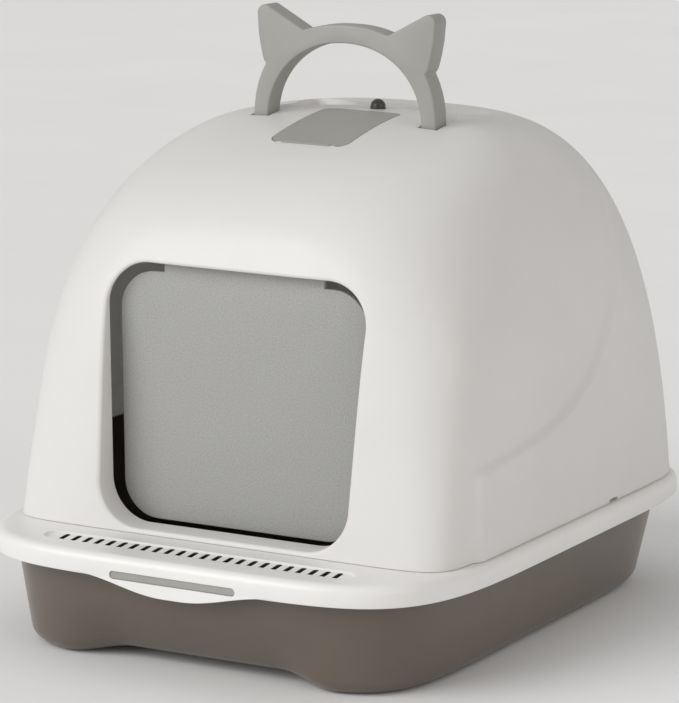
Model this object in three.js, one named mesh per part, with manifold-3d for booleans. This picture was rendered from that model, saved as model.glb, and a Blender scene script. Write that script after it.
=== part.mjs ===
import * as THREE from 'three';
import * as BufferGeometryUtils from 'three/addons/utils/BufferGeometryUtils.js';
import Module from 'manifold-3d';

// Hooded cat litter box. Millimetres, +Z up, the entry faces -Y, and the origin is on the floor under
// the middle of the overall box.

// Collar: the white frame around the tray.
const COLLAR = { halfWidth: 200, front: -263, rear: 263, bottom: 74, top: 91 };
const COLLAR_CORNERS = { frontExponent: 4.9, rearExponent: 8 };
const WALL = 3;
const GAP = 0.35;
const SHOULDER = { inset: 7, drop: 6 };
const TONGUE = { halfWidth: 84, bottom: 63.5 };
const GRIP = { halfLength: 53, halfHeight: 3, z: 76.5 };
const DRAIN = { slots: 24, pitch: 10.1, slotWidth: 3.4, slotLength: 15, y: -226, halfLength: 130, halfWidth: 10.5 };
const SEAT_RIM = { gap: 2.2, height: 6.5, thickness: 2.6 };

// Tray.
const TRAY = { bottomHalfWidth: 172, topHalfWidth: 188, bottomFront: -231, topFront: -250 };
const TRAY_REAR = { bottom: 236, top: 250 };
const TRAY_BOTTOM_EXPONENT = 6;
const TRAY_TOP = COLLAR.top - WALL - GAP;
const TRAY_CORNER = 12;
const TRAY_RIM = { out: 3, thickness: 3 };
const TOE = { halfWidth: 104, topHalfWidth: 66, top: 46, setBack: 16, height: 6, depth: 62, lean: 10 };
const GUARD = { top: 142, thickness: 2.4, bottom: 88.5, frontY: -110, lip: 2 };

// Hood: every level is a superellipse whose three half-sizes shrink towards the roof, and whose corners
// soften towards it. The front also leans back by a share of its reach.
const HOOD = { halfWidth: 192.5, front: 222, rear: 226, centreY: 28, base: COLLAR.top + GAP, top: 393 };
const HOOD_CORNERS = { frontExponent: 12, rearExponent: 9 };
const ROOF_EXPONENT = 2.6;
const FRONT_EASE = 1.5;
const REAR_EASE = 1;
const SIDE_CURVE = { rise: 2.55, round: 5.3, lean: 0 };
const FRONT_CURVE = { rise: 9, round: 1.35, lean: 0.12 };
const REAR_CURVE = { rise: 0.9, round: 6.5, lean: 0 };
const LEVELS = 13;
const SEGMENTS = 40;

// Entry opening and its flap.
const DOOR = { topHalfWidth: 110, bottomHalfWidth: 106, top: 294, bottom: 95, radius: 34, innerY: -170 };
const FLAP = {
  clearance: 4.5, bottomClearance: 1, shoulderDrop: 3.5, thickness: 3, tabHalfWidth: 68, pivotY: -158.5, pivotZ: 301,
};
const ROD_RADIUS = 1.6;
const ROD_HALF_LENGTH = 82;
const KNUCKLE_RADIUS = 3.4;
const FLAP_BEARING = { x: 75, width: 9, forward: 14, back: 4.5, below: 3.5, above: 12 };

// Cat-ear handle, upright at rest, folding back into a channel in the roof.
const HANDLE = { pivotY: 5, pivotZ: 386, thickness: 20, footOuter: 79.5, footInner: 67 };
const ARCH = { outerTop: 463, innerTop: 449, outerPower: 2.3, innerPower: 2.1 };
const EAR = { low: [69, 432], tip: [75.5, 475], inner: [39, 456.5], tipRadius: 6 };
const CHANNEL = { margin: 2.2, floor: 374.5 };
const PIN = { radius: 3, inner: 50, outer: 75 };
const BEARING = { inner: 49, outer: 61.5, depth: 20, bottom: 377 };

// Filter compartment under the front of the roof.
const COVER = { halfWidth: 33, front: -64, rear: 34.5, radius: 11 };
const COVER_HINGE = {
  y: -64, z: 376.6, radius: 2.3, halfLength: 20, pinRadius: 1.0, pinHalfLength: 24.5, lugEnd: 25,
};
const WELL = { halfWidth: 27, front: -56, rear: 26, floor: 352, flange: 13, wall: 2.4, radius: 6 };
const VENT = { count: 5, pitch: 13, width: 6, length: 40 };
const BASKET = { clearance: 0.8, wall: 1.8, height: 15 };
const PAD = { clearance: 0.8, height: 9 };

// Press button that frees the cover.
const BUTTON = { y: 53, radius: 6, top: 400.5, skirt: 388.5, stemRadius: 2.4, stemBottom: 377 };
const GUIDE = { bore: 6.5, outer: 8.4, floor: 381, floorThickness: 2 };
const SPRING = { radius: 4.2, wire: 0.55, turns: 3, steps: 10, bottom: 383.9, top: 387.6 };

const RIM_RELEASE = { y: 96, length: 16, height: 2.6 };
const FAR = 1000;
const EPSILON = 1e-3;

const wasm = await Module();
wasm.setup();

// ---- solids and booleans ----

function solid(geometry) {
  const bare = geometry.clone();
  bare.deleteAttribute('normal');
  bare.deleteAttribute('uv');
  const merged = BufferGeometryUtils.mergeVertices(bare, EPSILON);
  const vertProperties = new Float32Array(merged.attributes.position.array);
  const triVerts = new Uint32Array(merged.index.array);
  return new wasm.Manifold(new wasm.Mesh({ numProp: 3, vertProperties, triVerts }));
}

function piece(name, body, color, roughness = 0.5, metalness = 0) {
  const { vertProperties, triVerts, numProp } = body.getMesh();
  const geometry = new THREE.BufferGeometry();
  const positions = new Float32Array((vertProperties.length / numProp) * 3);
  for (let i = 0; i < positions.length / 3; i += 1) {
    positions.set(vertProperties.subarray(i * numProp, i * numProp + 3), i * 3);
  }
  geometry.setAttribute('position', new THREE.BufferAttribute(positions, 3));
  geometry.setIndex(new THREE.BufferAttribute(new Uint32Array(triVerts), 1));
  geometry.computeVertexNormals();
  const mesh = new THREE.Mesh(geometry, new THREE.MeshStandardMaterial({ color, roughness, metalness }));
  mesh.name = name;
  return mesh;
}

function box(minimum, maximum) {
  const size = maximum.map((value, i) => value - minimum[i]);
  const geometry = new THREE.BoxGeometry(...size);
  geometry.translate(...minimum.map((value, i) => value + size[i] / 2));
  return solid(geometry);
}

// A shape drawn in X and Y, raised from z0 to z1.
function upright(shape, z0, z1, curveSegments = 5) {
  const geometry = new THREE.ExtrudeGeometry(shape, { depth: z1 - z0, bevelEnabled: false, curveSegments });
  geometry.translate(0, 0, z0);
  return solid(geometry);
}

// A shape drawn in X and Z, run along Y from y0 to y1.
function along(shape, y0, y1, curveSegments = 5) {
  const geometry = new THREE.ExtrudeGeometry(shape, { depth: y1 - y0, bevelEnabled: false, curveSegments });
  geometry.rotateX(Math.PI / 2);
  geometry.translate(0, y1, 0);
  return solid(geometry);
}

// A shape drawn in Y and Z, run along X from x0 to x1.
function across(shape, x0, x1) {
  const geometry = new THREE.ExtrudeGeometry(shape, { depth: x1 - x0, bevelEnabled: false });
  const [ex, ey, ez] = [[0, 1, 0], [0, 0, 1], [1, 0, 0]].map((axis) => new THREE.Vector3(...axis));
  geometry.applyMatrix4(new THREE.Matrix4().makeBasis(ex, ey, ez));
  geometry.translate(x0, 0, 0);
  return solid(geometry);
}

function barAlongX(radius, x0, x1, y, z, sides = 14) {
  const geometry = new THREE.CylinderGeometry(radius, radius, x1 - x0, sides);
  geometry.rotateZ(Math.PI / 2);
  geometry.translate((x0 + x1) / 2, y, z);
  return solid(geometry);
}

// A profile of [radius, z] pairs turned about the vertical line through (0, y).
function turned(profile, y, sides = 16) {
  const geometry = new THREE.LatheGeometry(profile.map(([r, z]) => new THREE.Vector2(r, z)), sides);
  geometry.rotateX(Math.PI / 2);
  geometry.translate(0, y, 0);
  return solid(geometry);
}

// ---- superellipse levels ----

const power = (value, exponent) => (
  Math.abs(value) < EPSILON ** 2 ? 0 : Math.sign(value) * Math.abs(value) ** exponent
);

// A profile of [inset, z] pairs carried around a plan outline. plan(z) gives the outline at a height,
// and inset moves inwards from it; an inset of FAR is the middle.
function swept(profile, plan, segments = SEGMENTS) {
  const points = profile.map(([inset, z]) => new THREE.Vector2(FAR - inset, z));
  const geometry = new THREE.LatheGeometry(points, segments);
  geometry.rotateX(Math.PI / 2);
  const position = geometry.attributes.position;
  for (let i = 0; i < position.count; i += 1) {
    const x = position.getX(i);
    const y = position.getY(i);
    const z = position.getZ(i);
    const radius = Math.hypot(x, y);
    const { halfWidth, front, rear, centreY, frontExponent, rearExponent } = plan(z);
    if (radius < 1) {
      position.setXYZ(i, 0, centreY, z);
    } else {
      const inset = FAR - radius;
      const behind = y > 0;
      const exponent = behind ? rearExponent : frontExponent;
      const reach = (behind ? rear : front) - inset;
      const px = (halfWidth - inset) * power(x / radius, 2 / exponent);
      const py = centreY + reach * power(y / radius, 2 / exponent);
      position.setXYZ(i, px, py, z);
    }
  }
  return solid(geometry);
}

function collarPlan() {
  const { halfWidth, front, rear } = COLLAR;
  return { halfWidth, front: -front, rear, centreY: 0, ...COLLAR_CORNERS };
}

function trayPlan(z) {
  const t = Math.min(z / TRAY_TOP, 1);
  return {
    halfWidth: THREE.MathUtils.lerp(TRAY.bottomHalfWidth, TRAY.topHalfWidth, t),
    front: -THREE.MathUtils.lerp(TRAY.bottomFront, TRAY.topFront, t),
    rear: THREE.MathUtils.lerp(TRAY_REAR.bottom, TRAY_REAR.top, t),
    centreY: 0,
    frontExponent: THREE.MathUtils.lerp(TRAY_BOTTOM_EXPONENT, COLLAR_CORNERS.frontExponent, t),
    rearExponent: COLLAR_CORNERS.rearExponent,
  };
}

function hoodBasePlan() {
  const { halfWidth, front, rear, centreY } = HOOD;
  return { halfWidth, front, rear, centreY, ...HOOD_CORNERS };
}

// The share of a base half-size that is left at a height from 0 at the base to 1 at the roof.
const left = (level, { rise, round, lean }) => (
  (1 - lean * level) * Math.max(EPSILON, 1 - level ** rise) ** (1 / round)
);

const softened = (exponent, level, ease) => ROOF_EXPONENT + (exponent - ROOF_EXPONENT) * (1 - level) ** ease;

// A closed dome: the hood's outer form moved in by inset on every side.
function dome(inset, levels = LEVELS, segments = SEGMENTS) {
  const top = HOOD.top - inset;
  const bottom = inset > 0 ? HOOD.base - WALL : HOOD.base;
  const height = top - HOOD.base;
  const plan = (z) => {
    const level = THREE.MathUtils.clamp((z - HOOD.base) / height, 0, 1);
    return {
      halfWidth: (HOOD.halfWidth - inset) * left(level, SIDE_CURVE),
      front: (HOOD.front - inset) * left(level, FRONT_CURVE),
      rear: (HOOD.rear - inset) * left(level, REAR_CURVE),
      centreY: HOOD.centreY,
      frontExponent: softened(HOOD_CORNERS.frontExponent, level, FRONT_EASE),
      rearExponent: softened(HOOD_CORNERS.rearExponent, level, REAR_EASE),
    };
  };
  const profile = [[FAR, bottom], [0, bottom]];
  for (let i = inset > 0 ? 0 : 1; i < levels; i += 1) {
    profile.push([0, HOOD.base + height * (1 - (1 - i / levels) ** 2.2)]);
  }
  profile.push([FAR, top]);
  return swept(profile, plan, segments);
}

// ---- outlines ----

function roundedRectangle(x0, x1, y0, y1, radius) {
  const shape = new THREE.Shape();
  shape.absarc(x1 - radius, y0 + radius, radius, -Math.PI / 2, 0, false);
  shape.absarc(x1 - radius, y1 - radius, radius, 0, Math.PI / 2, false);
  shape.absarc(x0 + radius, y1 - radius, radius, Math.PI / 2, Math.PI, false);
  shape.absarc(x0 + radius, y0 + radius, radius, Math.PI, 1.5 * Math.PI, false);
  shape.closePath();
  return shape;
}

function stadium(halfLength, halfHeight, centre = 0) {
  const e = EPSILON;
  return roundedRectangle(-halfLength, halfLength, centre - halfHeight, centre + halfHeight, halfHeight - e);
}

// The entry outline in X and Z, grown by margin (or shrunk, if it is negative), its top let down by drop
// and its bottom by sag.
function doorOutline(margin, drop = 0, sag = 0) {
  const { radius } = DOOR;
  const topX = DOOR.topHalfWidth - radius;
  const bottomX = DOOR.bottomHalfWidth - radius;
  const topZ = DOOR.top - radius - drop;
  const bottomZ = DOOR.bottom + radius - sag;
  const r = radius + margin;
  const shape = new THREE.Shape();
  shape.absarc(bottomX, bottomZ, r, -Math.PI / 2, 0, false);
  shape.absarc(topX, topZ, r, 0, Math.PI / 2, false);
  shape.absarc(-topX, topZ, r, Math.PI / 2, Math.PI, false);
  shape.absarc(-bottomX, bottomZ, r, Math.PI, 1.5 * Math.PI, false);
  shape.closePath();
  return shape;
}

// The handle seen from the front, standing on its two feet, grown by margin. Its second axis is the
// height above the pivot.
function handleOutline(margin) {
  const steps = 10;
  const footBottom = -HANDLE.thickness / 2 - margin;
  const outer = { x: HANDLE.footOuter + margin, z: ARCH.outerTop - HANDLE.pivotZ + margin };
  const inner = { x: HANDLE.footInner - margin, z: ARCH.innerTop - HANDLE.pivotZ - margin };
  const arc = (size, exponent, angle) => new THREE.Vector2(
    size.x * power(Math.cos(angle), 2 / exponent),
    size.z * power(Math.sin(angle), 2 / exponent),
  );
  const earLow = EAR.low[1] - HANDLE.pivotZ - margin;
  const earInner = EAR.inner[0] - margin;
  const half = [new THREE.Vector2(inner.x, footBottom), new THREE.Vector2(outer.x, footBottom)];
  const arch = [];
  for (let i = 0; i <= steps; i += 1) {
    arch.push(arc(outer, ARCH.outerPower, (i / steps) * (Math.PI / 2)));
  }
  half.push(...arch.filter((point) => point.y < earLow));
  half.push(new THREE.Vector2(EAR.tip[0] - 3.5 + margin, earLow + margin));
  const tipX = EAR.tip[0] + 2 - EAR.tipRadius;
  const tipZ = EAR.tip[1] - HANDLE.pivotZ - EAR.tipRadius;
  for (const degrees of [0, 30, 60, 90, 117]) {
    const angle = THREE.MathUtils.degToRad(degrees);
    const reach = EAR.tipRadius + margin;
    half.push(new THREE.Vector2(tipX + reach * Math.cos(angle), tipZ + reach * Math.sin(angle)));
  }
  half.push(...arch.filter((point) => point.x < earInner));
  const points = [...half];
  for (const point of [...half].reverse()) {
    if (point.x > EPSILON) points.push(new THREE.Vector2(-point.x, point.y));
  }
  for (let i = 1; i < 2 * steps; i += 1) {
    points.push(arc(inner, ARCH.innerPower, Math.PI - (i / (2 * steps)) * Math.PI));
  }
  return new THREE.Shape(points);
}

// ---- tray and collar ----

function trayProfile(inset, floor) {
  const steps = 5;
  const profile = [[FAR, floor], [TRAY_CORNER + inset, floor]];
  const radius = TRAY_CORNER;
  for (let i = 1; i <= steps; i += 1) {
    const angle = (i / steps) * (Math.PI / 2);
    profile.push([inset + radius * (1 - Math.sin(angle)), floor + radius * (1 - Math.cos(angle))]);
  }
  return profile;
}

// The scoop in the lower front wall, deepest at the floor, with a low step under the tray behind it.
function toeScoop(margin) {
  const { halfWidth, topHalfWidth, top, setBack, height, depth, lean } = TOE;
  const front = new THREE.Shape();
  front.moveTo(-halfWidth - margin, -FAR);
  front.lineTo(-halfWidth - margin, 0);
  front.quadraticCurveTo(-topHalfWidth - margin, height, -topHalfWidth - margin, top + margin);
  front.lineTo(topHalfWidth + margin, top + margin);
  front.quadraticCurveTo(topHalfWidth + margin, height, halfWidth + margin, 0);
  front.lineTo(halfWidth + margin, -FAR);
  const y = TRAY.bottomFront + margin;
  const section = new THREE.Shape([
    [-FAR, top + margin], [y - lean, top + margin], [y + setBack, height + margin],
    [y + depth, height + margin], [y + depth, -FAR], [-FAR, -FAR],
  ].map(([sectionY, sectionZ]) => new THREE.Vector2(sectionY, sectionZ)));
  return along(front, -FAR, y + depth, 4).intersect(across(section, -FAR, FAR));
}

function litterTray() {
  const outerProfile = trayProfile(0, 0);
  outerProfile.push([0, TRAY_TOP - TRAY_RIM.thickness]);
  outerProfile.push([-TRAY_RIM.out, TRAY_TOP - TRAY_RIM.thickness]);
  outerProfile.push([-TRAY_RIM.out, TRAY_TOP]);
  outerProfile.push([FAR, TRAY_TOP]);
  const innerProfile = trayProfile(WALL, WALL);
  innerProfile.push([WALL, TRAY_TOP + WALL]);
  innerProfile.push([FAR, TRAY_TOP + WALL]);
  const hollow = swept(innerProfile, trayPlan).subtract(toeScoop(WALL));
  return swept(outerProfile, trayPlan).subtract(toeScoop(0)).subtract(hollow);
}

function collarRing(outerInset, innerInset, z0, z1) {
  const outer = swept([[FAR, z0], [outerInset, z0], [outerInset, z1], [FAR, z1]], collarPlan);
  const low = z0 - WALL;
  const high = z1 + WALL;
  const inner = swept([[FAR, low], [innerInset, low], [innerInset, high], [FAR, high]], collarPlan);
  return outer.subtract(inner);
}

function hoodPlanSolid(inset, z0, z1) {
  return swept([[FAR, z0], [inset, z0], [inset, z1], [FAR, z1]], hoodBasePlan);
}

function tongueShape() {
  const shape = new THREE.Shape();
  const { halfWidth, bottom } = TONGUE;
  shape.moveTo(-halfWidth, COLLAR.bottom + 1);
  shape.bezierCurveTo(-halfWidth * 0.6, COLLAR.bottom, -halfWidth * 0.45, bottom, 0, bottom);
  shape.bezierCurveTo(halfWidth * 0.45, bottom, halfWidth * 0.6, COLLAR.bottom, halfWidth, COLLAR.bottom + 1);
  shape.closePath();
  return shape;
}

function collarFrame() {
  const { bottom, top } = COLLAR;
  const outer = swept([
    [FAR, bottom], [0, bottom], [0, top - SHOULDER.drop],
    [SHOULDER.inset * 0.3, top - SHOULDER.drop * 0.3], [SHOULDER.inset, top], [FAR, top],
  ], collarPlan);
  const under = swept([
    [FAR, bottom - WALL], [WALL, bottom - WALL], [WALL, top - WALL - SHOULDER.drop],
    [WALL + SHOULDER.inset * 0.6, top - WALL], [FAR, top - WALL],
  ], collarPlan);
  const front = -FAR;
  const tongue = collarRing(0, WALL, TONGUE.bottom - WALL, bottom + 4)
    .intersect(along(tongueShape(), front, 0, 8));
  const rimOuter = WALL + SEAT_RIM.gap;
  const rimInner = rimOuter + SEAT_RIM.thickness;
  const doorWidth = DOOR.bottomHalfWidth + DOOR.radius / 2;
  const rim = hoodPlanSolid(rimOuter, top - WALL, top + SEAT_RIM.height)
    .subtract(box([-doorWidth, front, top - GAP], [doorWidth, DOOR.innerY + 2 * WALL, FAR]));
  const opening = hoodPlanSolid(rimInner, bottom - FAR, top + FAR);
  const recess = stadium(DRAIN.halfLength, DRAIN.halfWidth, DRAIN.y);
  let frame = outer.subtract(under).add(tongue).add(rim).subtract(opening);
  frame = frame.subtract(upright(recess, top - 1, top + WALL));
  for (let i = 0; i < DRAIN.slots; i += 1) {
    const x = (i - (DRAIN.slots - 1) / 2) * DRAIN.pitch;
    frame = frame.subtract(box(
      [x - DRAIN.slotWidth / 2, DRAIN.y - DRAIN.slotLength / 2, top - 2 * WALL],
      [x + DRAIN.slotWidth / 2, DRAIN.y + DRAIN.slotLength / 2, top + WALL],
    ));
  }
  return frame.subtract(along(stadium(GRIP.halfLength, GRIP.halfHeight, GRIP.z), front, -HOOD.front));
}

function gripInsert() {
  const shape = stadium(GRIP.halfLength - GAP, GRIP.halfHeight - GAP, GRIP.z);
  const ring = collarRing(0.8, WALL, GRIP.z - 2 * GRIP.halfHeight, GRIP.z + 2 * GRIP.halfHeight);
  return ring.intersect(along(shape, -FAR, -HOOD.front));
}

// A wall around the sides and back of the litter, open towards the entry.
function splashGuard() {
  const outer = WALL + SEAT_RIM.gap + SEAT_RIM.thickness + GAP;
  const band = box([-FAR, GUARD.frontY, GUARD.bottom], [FAR, FAR, GUARD.top]);
  const wall = dome(outer).subtract(dome(outer + GUARD.thickness)).intersect(band);
  const seat = COLLAR.top + SEAT_RIM.height + GAP;
  const ledge = box([-FAR, GUARD.frontY, seat], [FAR, FAR, seat + GUARD.lip]);
  return wall.add(dome(WALL + SEAT_RIM.gap).subtract(dome(outer + GUARD.thickness)).intersect(ledge));
}

// ---- hood ----

function channel(margin, floor) {
  return upright(handleOutline(margin), 0, FAR, 6).translate([0, HANDLE.pivotY, floor]);
}

function rectangleUpright(halfWidth, front, rear, radius, z0, z1) {
  return upright(roundedRectangle(-halfWidth, halfWidth, front, rear, radius), z0, z1, 4);
}

function hoodShell(outer, inner) {
  const jamb = along(doorOutline(WALL), -FAR, DOOR.innerY).intersect(outer);
  const boss = channel(CHANNEL.margin + WALL, CHANNEL.floor - WALL);
  let shell = outer.subtract(inner.subtract(boss)).add(jamb);
  shell = shell.subtract(along(doorOutline(0), -FAR, FLAP.pivotY + WALL));
  shell = shell.subtract(channel(CHANNEL.margin, CHANNEL.floor));
  const edge = 0.6;
  shell = shell.subtract(rectangleUpright(COVER.halfWidth + edge, COVER.front - COVER_HINGE.radius - edge,
    COVER.rear + edge, COVER.radius, CHANNEL.floor - 2 * WALL, FAR));
  const bore = GUIDE.bore;
  shell = shell.subtract(turned([[0, GUIDE.floor], [bore, GUIDE.floor], [bore, FAR], [0, FAR]], BUTTON.y));
  for (const side of [-1, 1]) {
    const x0 = Math.min(side * BEARING.inner, side * HANDLE.footOuter);
    const x1 = Math.max(side * BEARING.inner, side * HANDLE.footOuter);
    shell = shell.subtract(barAlongX(PIN.radius + GAP, x0, x1, HANDLE.pivotY, HANDLE.pivotZ));
    const notchX = side * HOOD.halfWidth;
    shell = shell.subtract(box(
      [notchX - 2 * WALL, RIM_RELEASE.y - RIM_RELEASE.length / 2, HOOD.base - WALL],
      [notchX + 2 * WALL, RIM_RELEASE.y + RIM_RELEASE.length / 2, HOOD.base + RIM_RELEASE.height],
    ));
  }
  return shell;
}

function flapBearing(side, lining) {
  const { x, width, forward, back, below, above } = FLAP_BEARING;
  const block = box(
    [side * x - width / 2, FLAP.pivotY - forward, FLAP.pivotZ - below],
    [side * x + width / 2, FLAP.pivotY + back, FLAP.pivotZ + above],
  );
  const bore = barAlongX(ROD_RADIUS + GAP, -FAR, FAR, FLAP.pivotY, FLAP.pivotZ);
  return block.intersect(lining).subtract(bore);
}

function flapRod() {
  return barAlongX(ROD_RADIUS, -ROD_HALF_LENGTH, ROD_HALF_LENGTH, FLAP.pivotY, FLAP.pivotZ);
}

function entryFlap() {
  const { clearance, bottomClearance, shoulderDrop, thickness, tabHalfWidth, pivotY, pivotZ } = FLAP;
  const y0 = pivotY - thickness / 2;
  const y1 = pivotY + thickness / 2;
  const sheet = along(doorOutline(-clearance, shoulderDrop, clearance - bottomClearance), y0, y1);
  const tab = box([-tabHalfWidth, y0, DOOR.top - DOOR.radius], [tabHalfWidth, y1, pivotZ]);
  const knuckle = barAlongX(KNUCKLE_RADIUS, -tabHalfWidth, tabHalfWidth, pivotY, pivotZ);
  const bore = barAlongX(ROD_RADIUS + GAP, -FAR, FAR, pivotY, pivotZ);
  return sheet.add(tab).add(knuckle).subtract(bore);
}

// ---- handle ----

function carryHandle() {
  const { pivotY, pivotZ, thickness, footInner, footOuter } = HANDLE;
  const low = pivotZ - 2 * thickness;
  let handle = along(handleOutline(0), pivotY - thickness / 2, pivotY + thickness / 2, 6)
    .translate([0, 0, pivotZ])
    .subtract(box([-FAR, -FAR, low], [FAR, FAR, pivotZ]));
  for (const side of [-1, 1]) {
    const x0 = side > 0 ? footInner : -footOuter;
    handle = handle.add(barAlongX(thickness / 2, x0, x0 + footOuter - footInner, pivotY, pivotZ, 20));
    const p0 = side > 0 ? PIN.inner : -PIN.outer - GAP;
    const p1 = side > 0 ? PIN.outer + GAP : -PIN.inner;
    handle = handle.subtract(barAlongX(PIN.radius + GAP, p0, p1, pivotY, pivotZ));
  }
  return handle;
}

function handlePin(side) {
  const x0 = side > 0 ? PIN.inner : -PIN.outer;
  return barAlongX(PIN.radius, x0, x0 + PIN.outer - PIN.inner, HANDLE.pivotY, HANDLE.pivotZ);
}

function handleBearing(side, lining) {
  const x0 = side > 0 ? BEARING.inner : -BEARING.outer;
  const block = box(
    [x0, HANDLE.pivotY - BEARING.depth / 2, BEARING.bottom],
    [x0 + BEARING.outer - BEARING.inner, HANDLE.pivotY + BEARING.depth / 2, FAR],
  );
  const bore = barAlongX(PIN.radius + GAP, -FAR, FAR, HANDLE.pivotY, HANDLE.pivotZ);
  return block.intersect(lining).subtract(bore);
}

// ---- filter compartment ----

function filterCover(outer, inner) {
  const { y, z, radius, halfLength, pinRadius } = COVER_HINGE;
  const sheet = outer.subtract(inner)
    .intersect(rectangleUpright(COVER.halfWidth, COVER.front, COVER.rear, COVER.radius, 0, FAR));
  let cover = sheet.add(barAlongX(radius, -halfLength, halfLength, y, z));
  for (const side of [-1, 1]) {
    const x0 = side > 0 ? halfLength : -FAR;
    cover = cover.subtract(box([x0, -FAR, 0], [x0 + FAR - halfLength, COVER.front + 2 * radius, FAR]));
  }
  return cover.subtract(barAlongX(pinRadius + GAP, -FAR, FAR, y, z, 14));
}

function coverPin() {
  const { y, z, pinRadius, pinHalfLength } = COVER_HINGE;
  return barAlongX(pinRadius, -pinHalfLength, pinHalfLength, y, z, 14);
}

function ventSlots(z0, z1) {
  const slots = [];
  for (let i = 0; i < VENT.count; i += 1) {
    const y = (WELL.front + WELL.rear) / 2 + (i - (VENT.count - 1) / 2) * VENT.pitch;
    slots.push(box([-VENT.length / 2, y - VENT.width / 2, z0], [VENT.length / 2, y + VENT.width / 2, z1]));
  }
  return slots;
}

function filterWell(lining, liningInner) {
  const { halfWidth, front, rear, floor, flange, wall, radius } = WELL;
  const mouth = rectangleUpright(halfWidth, front, rear, radius, floor, FAR);
  const cup = rectangleUpright(halfWidth + wall, front - wall, rear + wall, radius, floor - wall, FAR)
    .intersect(lining);
  const lip = lining.subtract(liningInner).intersect(
    rectangleUpright(halfWidth + flange, front - flange - wall, rear + flange + wall, radius, 0, FAR));
  const { y, z, halfLength, pinRadius, lugEnd, radius: barrel } = COVER_HINGE;
  let well = cup.add(lip).subtract(mouth);
  well = well.subtract(barAlongX(barrel + 2 * GAP, -halfLength - 1, halfLength + 1, y, z));
  for (const side of [-1, 1]) {
    const x0 = side > 0 ? halfLength + 1 : -lugEnd;
    const lug = box([x0, y - barrel, z - 3 * barrel], [x0 + lugEnd - halfLength - 1, y + barrel, z + 1.4]);
    well = well.add(lug);
  }
  for (const slot of ventSlots(floor - 2 * wall, floor + wall)) {
    well = well.subtract(slot);
  }
  return well.subtract(barAlongX(pinRadius + GAP, -FAR, FAR, y, z, 14));
}

function filterBasket() {
  const { clearance, wall, height } = BASKET;
  const halfWidth = WELL.halfWidth - clearance;
  const front = WELL.front + clearance;
  const rear = WELL.rear - clearance;
  const z0 = WELL.floor + GAP;
  let basket = rectangleUpright(halfWidth, front, rear, WELL.radius, z0, z0 + height)
    .subtract(rectangleUpright(halfWidth - wall, front + wall, rear - wall, WELL.radius - 1, z0 + wall, FAR));
  for (const slot of ventSlots(z0 - wall, z0 + 2 * wall)) {
    basket = basket.subtract(slot);
  }
  return basket;
}

function charcoalFilter() {
  const inset = BASKET.clearance + BASKET.wall + PAD.clearance;
  const z0 = WELL.floor + GAP + BASKET.wall + GAP;
  return rectangleUpright(WELL.halfWidth - inset, WELL.front + inset, WELL.rear - inset, 4, z0, z0 + PAD.height);
}

// ---- latch ----

function latchButton() {
  const { y, radius, top, skirt, stemRadius, stemBottom } = BUTTON;
  const cap = top - 6;
  const profile = [[0, stemBottom], [stemRadius, stemBottom], [stemRadius, skirt], [radius, skirt]];
  for (let i = 0; i <= 5; i += 1) {
    const angle = (i / 5) * (Math.PI / 2);
    profile.push([i < 5 ? radius * Math.cos(angle) : 0, cap + (top - cap) * Math.sin(angle)]);
  }
  return turned(profile, y);
}

function latchGuide(lining) {
  const { bore, outer, floor, floorThickness } = GUIDE;
  const stemBore = BUTTON.stemRadius + GAP;
  return turned([
    [stemBore, floor], [outer, floor], [outer, FAR], [bore, FAR],
    [bore, floor + floorThickness], [stemBore, floor + floorThickness], [stemBore, floor],
  ], BUTTON.y).intersect(lining);
}

class Helix extends THREE.Curve {
  getPoint(t, target = new THREE.Vector3()) {
    const angle = t * SPRING.turns * 2 * Math.PI;
    const z = THREE.MathUtils.lerp(SPRING.bottom, SPRING.top, t);
    return target.set(SPRING.radius * Math.cos(angle), BUTTON.y + SPRING.radius * Math.sin(angle), z);
  }
}

function latchSpring() {
  const section = new THREE.Shape();
  section.absarc(0, 0, SPRING.wire, 0, 2 * Math.PI, false);
  const steps = Math.round(SPRING.turns * SPRING.steps);
  const options = { steps, extrudePath: new Helix(), bevelEnabled: false, curveSegments: 3 };
  return solid(new THREE.ExtrudeGeometry(section, options));
}

// ---- assembly ----

const WHITE = 0xe6e5e2;
const TRAY_GREY = 0x6a6057;
const GREY = 0x9c9b96;
const FROST = 0xb4b4af;
const DARK = 0x3c3c3c;
const STEEL = 0xb9bcc0;

const outerDome = dome(0);
const innerDome = dome(WALL);
const lining = dome(WALL + GAP).subtract(channel(CHANNEL.margin + WALL + GAP, CHANNEL.floor - WALL - GAP));
const liningInner = dome(2 * WALL);

const group = new THREE.Group();
group.add(piece('litter_tray', litterTray(), TRAY_GREY, 0.35));
group.add(piece('collar_frame', collarFrame(), WHITE, 0.4));
group.add(piece('grip_insert', gripInsert(), GREY));
group.add(piece('splash_guard', splashGuard(), TRAY_GREY, 0.4));
group.add(piece('hood_shell', hoodShell(outerDome, innerDome), WHITE, 0.4));
group.add(piece('entry_flap', entryFlap(), FROST, 0.6));
group.add(piece('flap_rod', flapRod(), STEEL, 0.3, 1));
group.add(piece('carry_handle', carryHandle(), GREY));
group.add(piece('filter_well', filterWell(lining, liningInner), WHITE));
group.add(piece('filter_basket', filterBasket(), GREY));
group.add(piece('charcoal_filter', charcoalFilter(), DARK, 0.95));
group.add(piece('filter_cover', filterCover(outerDome, innerDome), GREY));
group.add(piece('cover_pin', coverPin(), STEEL, 0.3, 1));
group.add(piece('latch_button', latchButton(), DARK));
group.add(piece('latch_guide', latchGuide(lining), WHITE));
group.add(piece('latch_spring', latchSpring(), STEEL, 0.3, 1));
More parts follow.
